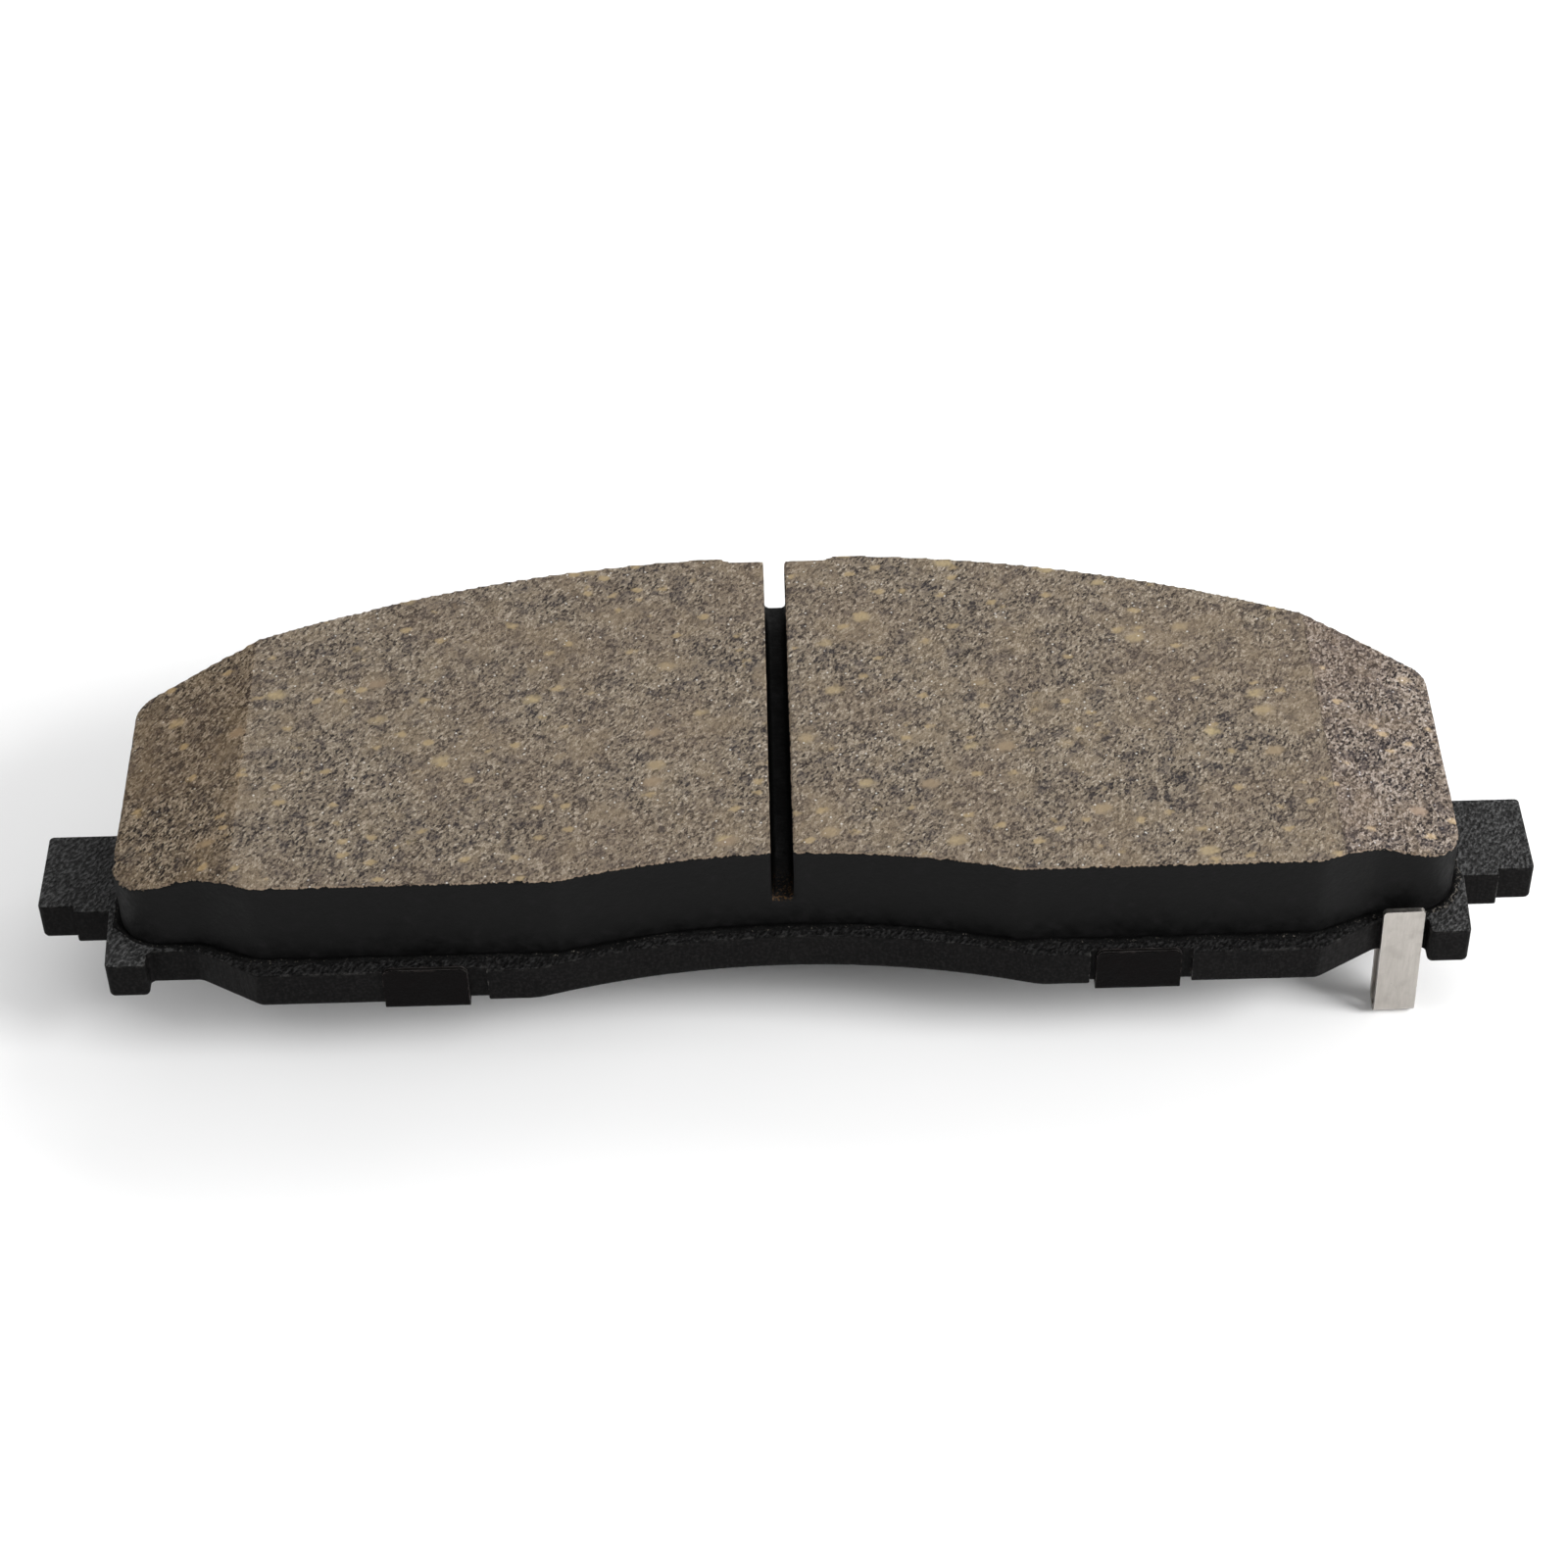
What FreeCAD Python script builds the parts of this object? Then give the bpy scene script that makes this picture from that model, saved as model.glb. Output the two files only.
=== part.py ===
import FreeCAD, Part
import math
import os
import re
import Sketcher

# A disc brake pad in millimetres, lying with its friction face up.
#
# X runs along the pad, Y points away from the wheel's axle, Z is the normal of the friction face.
# The origin is on the back of the shim, in the middle of the area that the caliper piston pushes.
# From the back, the layers are: rubber, steel core, rubber and glue (the shim), the steel plate,
# a bonding film, the underlayer and the friction lining. A sprung strip is riveted to the plate.
#
# A formula is text in the names of the sheet's cells. Outlines are drawn for the right half
# and mirrored, because the plate, the lining and the shim are each symmetric.

# name, value, meaning
DIMENSIONS = [
    ("shim_rubber", 0.12, "thickness of each rubber coat of the shim"),
    ("shim_core", 0.5, "thickness of the shim's steel"),
    ("shim_glue", 0.06, "thickness of the glue between shim and plate"),
    ("plate_thickness", 5.6, "backing plate"),
    ("film_thickness", 0.1, "cured bonding film"),
    ("underlayer_thickness", 2.0, "insulating layer under the lining"),
    ("lining_thickness", 10.15, "friction lining, unworn"),

    ("ear_end_x", 92.3, "end face of the ear"),
    ("ear_far_y", -7.0, "far edge of the ear"),
    ("ear_near_y", -19.3, "near edge of the ear's tip"),
    ("ear_heel_y", -20.3, "near edge of the ear's root"),
    ("ear_step_x", 87.8, "step between tip and root"),
    ("plate_side_x", 82.8, "side of the plate beyond the ear"),
    ("leg_root_x", 83.45, "outer side of the leg where it leaves the ear"),
    ("leg_tip_x", 82.9, "outer side of the leg at its tip"),
    ("leg_inner_x", 78.0, "inner side of the leg"),
    ("leg_tip_y", -29.7, "tip of the leg"),
    ("recess_y", -27.4, "floor of the recess beside the leg"),
    ("recess_end_x", 71.9, "where the recess runs out into the ramp"),
    ("ramp_end_x", 64.3, "where the ramp meets the near edge"),
    ("plate_near_y", -31.9, "near edge of the plate"),
    ("plate_arch_x", 30.5, "half length of the near edge's arch"),
    ("plate_arch_y", -27.55, "top of the near edge's arch"),
    ("plate_crown_y", 31.1, "far edge of the plate at its middle"),
    ("plate_shoulder_x", 66.9, "end of the far arc"),
    ("plate_shoulder_y", 17.3, "end of the far arc"),
    ("plate_corner_y", 9.2, "far corner of the plate"),
    ("plate_far_corner_round", 5.0, "radius of the far corners"),
    ("plate_corner_round", 0.6, "radius of the small corners of ears and legs"),
    ("plate_blend_round", 2.0, "radius at both ends of the ramp"),
    ("plate_arch_round", 8.0, "radius at both ends of the arch"),
    ("plate_back_round", 0.8, "rolled edge that blanking leaves round the back"),
    ("plate_front_round", 0.2, "broken edge round the front"),

    ("notch_x", 42.7, "middle of each near notch"),
    ("notch_width", 12.4, "near notch"),
    ("notch_floor_y", -31.3, "floor of the near notches"),
    ("far_notch_width", 18.2, "notch in the middle of the far edge"),
    ("far_notch_floor_y", 30.4, "floor of the far notch"),

    ("key_inner_x", 22.0, "inner pair of keying holes"),
    ("key_inner_y", 4.0, "inner pair of keying holes"),
    ("key_outer_x", 53.0, "outer pair of keying holes"),
    ("key_outer_y", -4.0, "outer pair of keying holes"),
    ("key_diameter", 10.0, "keying hole and the plug that fills it"),

    ("lining_side_x", 81.75, "side of the lining"),
    ("lining_corner_y", 7.95, "far corner of the lining"),
    ("lining_shoulder_x", 66.5, "end of the far arc"),
    ("lining_shoulder_y", 15.6, "end of the far arc"),
    ("lining_crown_x", 7.5, "where the far arc drops into the shallow far notch"),
    ("lining_crown_y", 29.12, "far arc beside the shallow notch"),
    ("lining_dip_x", 6.2, "half width of the shallow notch's floor"),
    ("lining_dip_y", 28.4, "floor of the shallow far notch"),
    ("lining_foot_y", -26.1, "near edge beside the recess"),
    ("lining_foot_x", 71.2, "inner end of the edge beside the recess"),
    ("lining_ramp_x", 64.2, "where the ramp meets the near edge"),
    ("lining_near_y", -29.1, "near edge of the lining"),
    ("lining_arch_x", 27.7, "half length of the near edge's arch"),
    ("lining_arch_y", -25.4, "top of the near edge's arch"),
    ("lining_far_round", 4.0, "radius of the far corners"),
    ("lining_near_round", 5.5, "radius of the near corners"),
    ("lining_blend_round", 4.0, "radius at both ends of the ramp"),
    ("chamfer_start_x", 66.8, "where the end chamfer starts"),
    ("chamfer_angle", 15.0, "slope of the end chamfers in degrees"),
    ("slot_x", -0.5, "middle of the slot"),
    ("slot_width", 2.7, "slot across the lining"),
    ("slot_depth", 8.05, "slot from the friction face"),
    ("slot_round", 0.7, "radius along the slot's floor"),

    ("shim_shift_x", -0.8, "play taken up by the shim in its notches"),
    ("shim_side_x", 58.0, "side of the shim"),
    ("shim_corner_y", 12.0, "far corner of the shim"),
    ("shim_shoulder_x", 46.0, "end of the far arc"),
    ("shim_shoulder_y", 21.6, "end of the far arc"),
    ("shim_crown_y", 28.0, "far edge of the shim at its middle"),
    ("shim_near_y", -28.3, "near edge of the shim"),
    ("shim_arch_x", 30.5, "half length of the near edge's arch"),
    ("shim_arch_y", -24.4, "top of the near edge's arch"),
    ("shim_round", 6.0, "radius of the shim's corners"),
    ("tab_x", 43.2, "middle of each near tab"),
    ("tab_width", 10.3, "near tab"),
    ("far_tab_width", 16.0, "tab in the middle of the far edge"),
    ("tab_gap", 0.1, "play between tab and notch floor"),
    ("tab_bend", 0.2, "inside radius of the tab's fold"),
    ("tab_overlap", 1.0, "how far a tab's foot reaches into the sheet"),
    ("tab_top", 6.8, "height of the tabs above the shim's back"),
    ("tab_round", 1.0, "radius of the tab's upper corners"),

    ("strip_x", 74.95, "middle of the strip"),
    ("strip_width", 5.0, "sprung strip"),
    ("strip_thickness", 0.7, "sprung strip"),
    ("strip_front_y", -28.3, "outer face of the front leg"),
    ("hairpin_depth", 3.5, "front leg and back leg together, over their outer faces"),
    ("hairpin_drop", 10.7, "from the plate's back to the bottom of the hairpin"),
    ("strip_rise", 2.15, "from the plate's front to the tip of the front leg"),
    ("foot_end_y", -12.0, "end of the strip's foot"),
    ("foot_bend", 0.5, "inside radius between foot and back leg"),
    ("strip_corner_round", 0.5, "radius of the strip's corners"),
    ("strip_lean", 1.2, "how far the strip's tip leans inward, in degrees"),
    ("rivet_y", -17.0, "axis of the rivet"),
    ("rivet_diameter", 3.0, "shank of the rivet"),
    ("rivet_play", 0.4, "hole in the strip over the shank"),
    ("rivet_head_diameter", 5.6, "domed head under the strip"),
    ("rivet_head_height", 1.3, "domed head under the strip"),
    ("rivet_flare_diameter", 4.6, "flush end in the plate's front"),
    ("rivet_flare_depth", 1.0, "flush end in the plate's front"),
]

SHEET = "Dimensions"
NAMES = [name for name, value, meaning in DIMENSIONS]
TINY = 1e-6

# Heights of the layers above the shim's back.
CORE_BACK = "shim_rubber"
INNER_RUBBER_BACK = "shim_rubber + shim_core"
GLUE_BACK = "2 * shim_rubber + shim_core"
PLATE_BACK = GLUE_BACK + " + shim_glue"
PLATE_FRONT = PLATE_BACK + " + plate_thickness"
UNDERLAYER_BACK = PLATE_FRONT + " + film_thickness"
LINING_BACK = UNDERLAYER_BACK + " + underlayer_thickness"

doc = FreeCAD.newDocument("BrakePad")
sheet = doc.addObject("Spreadsheet::Sheet", SHEET)


def fill_sheet():
    """Write one row for each driving dimension: its name, its value and what it measures."""
    for row, (name, value, meaning) in enumerate(DIMENSIONS, start=1):
        sheet.set("A%d" % row, name)
        sheet.set("B%d" % row, str(value))
        sheet.set("C%d" % row, meaning)
        sheet.setAlias("B%d" % row, name)
    doc.recompute()


def bound(formula):
    """The formula with each name pointing into the sheet."""
    return re.sub(r"[a-z_]+", lambda word: SHEET + "." + word.group(0)
                  if word.group(0) in NAMES else word.group(0), formula)


def number(formula):
    """The formula's value."""
    return float(sheet.evalExpression(bound(formula)))


def bind(thing, prop, formula):
    """Set a property to a formula of the sheet."""
    thing.setExpression(prop, bound(formula))


# ---------------------------------------------------------------- bodies, sketches and features

def make_body(label, height="0", shift="0"):
    """A body whose own XY plane lies at a height above the shim's back."""
    body = doc.addObject("PartDesign::Body", label)
    body.Label = label
    bind(body, ".Placement.Base.x", shift)
    bind(body, ".Placement.Base.z", height)
    return body


def origin_plane(body, role):
    return [plane for plane in body.Origin.OriginFeatures if plane.Role == role][0]


def make_sketch(body, name, role="XY_Plane", offset="0"):
    """An empty sketch on one of the body's origin planes, moved along that plane's normal."""
    sketch = body.newObject("Sketcher::SketchObject", name)
    sketch.AttachmentSupport = [(origin_plane(body, role), "")]
    sketch.MapMode = "FlatFace"
    bind(sketch, ".AttachmentOffset.Base.z", offset)
    return sketch


def hold(sketch, kind, places, formula):
    """Add a dimension to the sketch and bind it to a formula."""
    index = sketch.addConstraint(Sketcher.Constraint(kind, *places, number(formula)))
    name = "%s%d" % (kind, index)
    sketch.renameConstraint(index, name)
    bind(sketch, "Constraints." + name, formula)


def hold_point(sketch, edge, end, x, y):
    """Fix a point of an edge at two formulas, or on an axis where the formula is 0."""
    x_axis, y_axis = -1, -2
    for kind, formula, axis in (("DistanceX", x, y_axis), ("DistanceY", y, x_axis)):
        if abs(number(formula)) < TINY:
            sketch.addConstraint(Sketcher.Constraint("PointOnObject", edge, end, axis))
        else:
            hold(sketch, kind, (edge, end), formula)


def arc_on_axis(start, finish):
    """The short arc between two points whose centre is on the sketch's Y axis."""
    rise = finish.y - start.y
    centre_y = (finish.x ** 2 - start.x ** 2 + finish.y ** 2 - start.y ** 2) / (2 * rise)
    centre = FreeCAD.Vector(0, centre_y, 0)
    radius = (start - centre).Length
    middle = (start + finish) / 2 - centre
    middle.normalize()
    return Part.Arc(start, centre + middle * radius, finish)


def draw_outline(sketch, corners):
    """Close an outline through corners of (x, y, way on), where a way on is "line" or "arc".

    An arc has its centre on the sketch's Y axis, so its two ends fix it.
    """
    spots = [FreeCAD.Vector(number(x), number(y), 0) for x, y, way in corners]
    edges = []
    for index, (x, y, way) in enumerate(corners):
        start = spots[index]
        finish = spots[(index + 1) % len(spots)]
        curve = arc_on_axis(start, finish) if way == "arc" else Part.LineSegment(start, finish)
        edge = sketch.addGeometry(curve)
        forward = sketch.getPoint(edge, 1).distanceToPoint(start) < TINY
        edges.append((edge, 1, 2) if forward else (edge, 2, 1))
    for index, (x, y, way) in enumerate(corners):
        edge, first, last = edges[index]
        before, before_first, before_last = edges[index - 1]
        sketch.addConstraint(Sketcher.Constraint("Coincident", before, before_last, edge, first))
        hold_point(sketch, edge, first, x, y)
        if way == "arc":
            centre, y_axis = 3, -2
            sketch.addConstraint(Sketcher.Constraint("PointOnObject", edge, centre, y_axis))


def draw_circle(sketch, x, y, diameter):
    centre = FreeCAD.Vector(number(x), number(y), 0)
    up = FreeCAD.Vector(0, 0, 1)
    edge = sketch.addGeometry(Part.Circle(centre, up, number(diameter) / 2))
    hold_point(sketch, edge, 3, x, y)
    hold(sketch, "Radius", (edge,), "(%s) / 2" % diameter)


def rectangle(left, right, low, high):
    """The four corners of a rectangle, as an outline."""
    return [(left, low, "line"), (right, low, "line"), (right, high, "line"), (left, high, "line")]


def pad(body, sketch, length, both_ways=False, reverse=False):
    feature = body.newObject("PartDesign::Pad", sketch.Name + "Pad")
    feature.Profile = sketch
    feature.Midplane = both_ways
    feature.Reversed = reverse
    feature.Refine = True
    bind(feature, "Length", length)
    return feature


def pocket(body, sketch, both_ways=False, reverse=False):
    """Cut the sketch's shape through the whole body, and check that it cut something."""
    doc.recompute()
    before = body.Shape.Volume
    feature = body.newObject("PartDesign::Pocket", sketch.Name + "Pocket")
    feature.Profile = sketch
    feature.Type = "ThroughAll"
    feature.Midplane = both_ways
    feature.Reversed = reverse
    feature.Refine = True
    doc.recompute()
    if body.Shape.Volume > before - TINY:
        raise RuntimeError(feature.Name + " cuts nothing")
    return feature


def mirror(body, features, name):
    """Mirror features about the body's YZ plane."""
    feature = body.newObject("PartDesign::Mirrored", name)
    feature.Originals = features
    feature.MirrorPlane = (origin_plane(body, "YZ_Plane"), [""])
    feature.Refine = True
    body.Tip = feature
    doc.recompute()
    return feature


def round_edges(body, names, radius, label):
    """Fillet edges of the body's latest shape."""
    base = body.Tip
    feature = body.newObject("PartDesign::Fillet", label)
    feature.Base = (base, names)
    bind(feature, "Radius", radius)
    body.Tip = feature
    doc.recompute()
    return feature


def edges_where(shape, test):
    return ["Edge%d" % (index + 1) for index, edge in enumerate(shape.Edges) if test(edge)]


def upright_edges(body, corners):
    """Straight edges along Z that stand at the given corners, on either half."""
    spots = [(abs(number(x)), number(y)) for x, y in corners]

    def stands_there(edge):
        first, last = edge.Vertexes[0].Point, edge.Vertexes[-1].Point
        upright = math.hypot(first.x - last.x, first.y - last.y) < TINY < abs(first.z - last.z)
        return upright and any(math.hypot(abs(first.x) - x, first.y - y) < 0.01 for x, y in spots)

    return edges_where(body.Tip.Shape, stands_there)


def rim_edges(body, height):
    """Edges of the outer rim at one height of the body's own frame."""
    flat = [face for face in body.Tip.Shape.Faces
            if abs(face.BoundBox.ZMin - height) < TINY and abs(face.BoundBox.ZMax - height) < TINY]
    rim = max(flat, key=lambda face: face.Area).OuterWire.Edges
    return edges_where(body.Tip.Shape, lambda edge: any(edge.isSame(other) for other in rim))


# ---------------------------------------------------------------- backing plate

KEY_HOLES = [("key_inner_x", "key_inner_y"), ("-key_inner_x", "key_inner_y"),
             ("key_outer_x", "key_outer_y"), ("-key_outer_x", "key_outer_y")]


def make_backing_plate():
    body = make_body("backing_plate", PLATE_BACK)
    outline = make_sketch(body, "PlateOutline")
    draw_outline(outline, [
        ("0", "plate_crown_y", "arc"),
        ("plate_shoulder_x", "plate_shoulder_y", "line"),
        ("plate_side_x", "plate_corner_y", "line"),
        ("plate_side_x", "ear_far_y", "line"),
        ("ear_end_x", "ear_far_y", "line"),
        ("ear_end_x", "ear_near_y", "line"),
        ("ear_step_x", "ear_near_y", "line"),
        ("ear_step_x", "ear_heel_y", "line"),
        ("leg_root_x", "ear_heel_y", "line"),
        ("leg_tip_x", "leg_tip_y", "line"),
        ("leg_inner_x", "leg_tip_y", "line"),
        ("leg_inner_x", "recess_y", "line"),
        ("recess_end_x", "recess_y", "line"),
        ("ramp_end_x", "plate_near_y", "line"),
        ("plate_arch_x", "plate_near_y", "arc"),
        ("0", "plate_arch_y", "line"),
    ])
    mirror(body, [pad(body, outline, "plate_thickness")], "PlateMirrored")

    near_notch = make_sketch(body, "NearNotch")
    draw_outline(near_notch, rectangle("notch_x - notch_width / 2", "notch_x + notch_width / 2",
                                       "plate_near_y - 1", "notch_floor_y"))
    mirror(body, [pocket(body, near_notch, reverse=True)], "NearNotchMirrored")

    far_notch = make_sketch(body, "FarNotch")
    draw_outline(far_notch, rectangle("-far_notch_width / 2", "far_notch_width / 2",
                                      "far_notch_floor_y", "plate_crown_y + 1"))
    pocket(body, far_notch, reverse=True)

    holes = make_sketch(body, "KeyHoles")
    for x, y in KEY_HOLES:
        draw_circle(holes, x, y, "key_diameter")
    pocket(body, holes, reverse=True)

    rivet_hole = make_sketch(body, "RivetHole", offset="plate_thickness")
    draw_circle(rivet_hole, "strip_x", "rivet_y", "rivet_diameter")
    doc.recompute()
    flared = body.newObject("PartDesign::Hole", "FlaredHole")
    flared.Profile = rivet_hole
    flared.ThreadType = "None"
    flared.DepthType = "ThroughAll"
    flared.HoleCutType = "Countersink"
    flared.HoleCutCustomValues = True
    bind(flared, "Diameter", "rivet_diameter")
    bind(flared, "HoleCutDiameter", "rivet_flare_diameter")
    bind(flared, "HoleCutCountersinkAngle",
         "2 * atan((rivet_flare_diameter - rivet_diameter) / (2 * rivet_flare_depth))")
    body.Tip = flared
    doc.recompute()

    round_edges(body, upright_edges(body, [("plate_side_x", "plate_corner_y")]),
                "plate_far_corner_round", "FarCorners")
    round_edges(body, upright_edges(body, [
        ("plate_side_x", "ear_far_y"), ("ear_end_x", "ear_far_y"), ("ear_end_x", "ear_near_y"),
        ("leg_tip_x", "leg_tip_y"), ("leg_inner_x", "leg_tip_y"), ("leg_inner_x", "recess_y"),
    ]), "plate_corner_round", "SmallCorners")
    round_edges(body, upright_edges(body, [("recess_end_x", "recess_y"),
                                           ("ramp_end_x", "plate_near_y")]),
                "plate_blend_round", "RampBlends")
    round_edges(body, upright_edges(body, [("plate_arch_x", "plate_near_y")]),
                "plate_arch_round", "ArchBlends")
    round_edges(body, rim_edges(body, 0), "plate_back_round", "RolledBackEdge")
    round_edges(body, rim_edges(body, number("plate_thickness")), "plate_front_round",
                "BrokenFrontEdge")
    return body


# ---------------------------------------------------------------- bonded layers of the lining

LINING_OUTLINE = [
    ("0", "lining_dip_y", "line"),
    ("lining_dip_x", "lining_dip_y", "line"),
    ("lining_crown_x", "lining_crown_y", "arc"),
    ("lining_shoulder_x", "lining_shoulder_y", "line"),
    ("lining_side_x", "lining_corner_y", "line"),
    ("lining_side_x", "lining_foot_y", "line"),
    ("lining_foot_x", "lining_foot_y", "line"),
    ("lining_ramp_x", "lining_near_y", "line"),
    ("lining_arch_x", "lining_near_y", "arc"),
    ("0", "lining_arch_y", "line"),
]


def make_lining_layer(label, height, thickness):
    """A slab with the lining's outline and rounded corners."""
    body = make_body(label, height)
    outline = make_sketch(body, label + "_outline")
    draw_outline(outline, LINING_OUTLINE)
    mirror(body, [pad(body, outline, thickness)], label + "_mirrored")
    rounds = [
        ("lining_far_round", [("lining_side_x", "lining_corner_y")]),
        ("lining_near_round", [("lining_side_x", "lining_foot_y")]),
        ("lining_blend_round", [("lining_foot_x", "lining_foot_y"),
                                ("lining_ramp_x", "lining_near_y")]),
    ]
    for radius, corners in rounds:
        round_edges(body, upright_edges(body, corners), radius, label + "_" + radius)
    return body


def make_bonding_adhesive():
    body = make_lining_layer("bonding_adhesive", PLATE_FRONT, "film_thickness")
    holes = make_sketch(body, "FilmHoles")
    for x, y in KEY_HOLES:
        draw_circle(holes, x, y, "key_diameter")
    pocket(body, holes, reverse=True)
    return body


def make_underlayer():
    """The underlayer with the plugs that were pressed into the plate's keying holes."""
    body = make_lining_layer("underlayer", UNDERLAYER_BACK, "underlayer_thickness")
    plugs = make_sketch(body, "Plugs")
    for x, y in KEY_HOLES:
        draw_circle(plugs, x, y, "key_diameter")
    pad(body, plugs, "film_thickness + plate_thickness", reverse=True)
    return body


def make_friction_lining():
    body = make_lining_layer("friction_lining", LINING_BACK, "lining_thickness")

    chamfer = make_sketch(body, "ChamferProfile", "XZ_Plane")
    beyond = "lining_side_x + 1"
    drop = "(lining_side_x + 1 - chamfer_start_x) * tan(chamfer_angle * 1deg)"
    draw_outline(chamfer, [
        ("chamfer_start_x", "lining_thickness", "line"),
        (beyond, "lining_thickness - " + drop, "line"),
        (beyond, "lining_thickness + 1", "line"),
        ("chamfer_start_x", "lining_thickness + 1", "line"),
    ])
    mirror(body, [pocket(body, chamfer, both_ways=True)], "ChamfersMirrored")

    slot = make_sketch(body, "SlotProfile", "XZ_Plane")
    draw_outline(slot, rectangle("slot_x - slot_width / 2", "slot_x + slot_width / 2",
                                 "lining_thickness - slot_depth", "lining_thickness + 1"))
    body.Tip = pocket(body, slot, both_ways=True)
    floor = number("lining_thickness - slot_depth")
    reach = number("slot_width") / 2 + 0.01
    along_floor = edges_where(body.Tip.Shape, lambda edge: (
        abs(edge.BoundBox.ZMin - floor) < TINY and abs(edge.BoundBox.ZMax - floor) < TINY
        and edge.BoundBox.YLength > edge.BoundBox.XLength
        and abs(edge.BoundBox.Center.x - number("slot_x")) < reach))
    round_edges(body, along_floor, "slot_round", "SlotFloorRounds")
    return body


# ---------------------------------------------------------------- shim

def tab_profile(sign, floor, root, inner, outer):
    """Corners of one layer of a folded tab, seen along X, with the fold left square.

    sign is 1 for a tab that folds up on the far edge and -1 on the near edge. inner and outer
    are the layer's two faces, as depths under the surface of the shim that faces the plate.
    """
    face = "%s + %d * (tab_gap + %s)"
    inner_y = face % (floor, sign, inner)
    outer_y = face % (floor, sign, outer)
    thickness = "(%s - (%s))" % (outer, inner)
    corners = [
        (root, "0", "line"),
        (outer_y, "0", "line"),
        (outer_y, "tab_top - (%s)" % SHIM_LAYER_BACK[outer], "line"),
        (inner_y, "tab_top - (%s)" % SHIM_LAYER_BACK[outer], "line"),
        (inner_y, thickness, "line"),
        (root, thickness, "line"),
    ]
    return corners


# Depth of a layer's outer face under the shim's front, and the height of that face over its back.
SHIM_LAYER_BACK = {
    "shim_rubber": INNER_RUBBER_BACK,
    "shim_rubber + shim_core": CORE_BACK,
    "2 * shim_rubber + shim_core": "0",
}


def add_tab(body, name, profile, middle, width, mirrored):
    """Extrude a tab's profile along X, on both sides of its middle."""
    sketch = make_sketch(body, name, "YZ_Plane", middle)
    draw_outline(sketch, profile)
    tab = pad(body, sketch, width, both_ways=True)
    if mirrored:
        mirror(body, [tab], name + "Mirrored")
    else:
        body.Tip = tab
        doc.recompute()


def fold_edges(body, y, z):
    """Straight edges along X at one place of the body's own YZ plane."""
    def lies_there(edge):
        box = edge.BoundBox
        return (box.YLength < TINY and box.ZLength < TINY
                and abs(box.Center.y - y) < 0.001 and abs(box.Center.z - z) < 0.001)
    return edges_where(body.Tip.Shape, lies_there)


def draw_shim_sheet(body, name):
    """The flat outline of the shim."""
    outline = make_sketch(body, name)
    draw_outline(outline, [
        ("0", "shim_crown_y", "arc"),
        ("shim_shoulder_x", "shim_shoulder_y", "line"),
        ("shim_side_x", "shim_corner_y", "line"),
        ("shim_side_x", "shim_near_y", "line"),
        ("shim_arch_x", "shim_near_y", "arc"),
        ("0", "shim_arch_y", "line"),
    ])
    return outline


def round_shim_sheet(body, label):
    corners = [("shim_shoulder_x", "shim_shoulder_y"), ("shim_side_x", "shim_corner_y"),
               ("shim_side_x", "shim_near_y")]
    round_edges(body, upright_edges(body, corners), "shim_round", label + "_corners")


def make_shim_layer(label, inner, outer):
    """One layer of the rubber-coated shim, with its folded tabs."""
    height = SHIM_LAYER_BACK[outer]
    body = make_body(label, height, "shim_shift_x")
    thickness = "%s - (%s)" % (outer, inner)
    mirror(body, [pad(body, draw_shim_sheet(body, label + "_sheet"), thickness)],
           label + "_mirrored")
    round_shim_sheet(body, label)

    tabs = [
        ("near", -1, "notch_floor_y", "shim_near_y + tab_overlap", "tab_x", "tab_width"),
        ("far", 1, "far_notch_floor_y", "shim_crown_y - 2 * tab_overlap", "0", "far_tab_width"),
    ]
    for side, sign, floor, root, middle, width in tabs:
        profile = tab_profile(sign, floor, root, inner, outer)
        add_tab(body, label + "_" + side + "_tab", profile, middle, width, side == "near")

    for side, sign, floor, root, middle, width in tabs:
        outer_y = number("%s + %d * (tab_gap + %s)" % (floor, sign, outer))
        inner_y = number("%s + %d * (tab_gap + %s)" % (floor, sign, inner))
        round_edges(body, fold_edges(body, outer_y, 0), "tab_bend + " + outer,
                    label + "_" + side + "_fold_outside")
        round_edges(body, fold_edges(body, inner_y, number(thickness)), "tab_bend + " + inner,
                    label + "_" + side + "_fold_inside")
    tip = number("tab_top - (%s)" % height)
    corners = edges_where(body.Tip.Shape, lambda edge: (
        abs(edge.BoundBox.ZMin - tip) < TINY and edge.BoundBox.ZLength < TINY
        and edge.BoundBox.XLength < TINY))
    round_edges(body, corners, "tab_round", label + "_tab_corners")
    return body


def make_shim_adhesive():
    body = make_body("shim_adhesive", GLUE_BACK, "shim_shift_x")
    mirror(body, [pad(body, draw_shim_sheet(body, "GlueSheet"), "shim_glue")], "GlueMirrored")
    round_shim_sheet(body, "glue")
    return body


# ---------------------------------------------------------------- wear indicator

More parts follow.
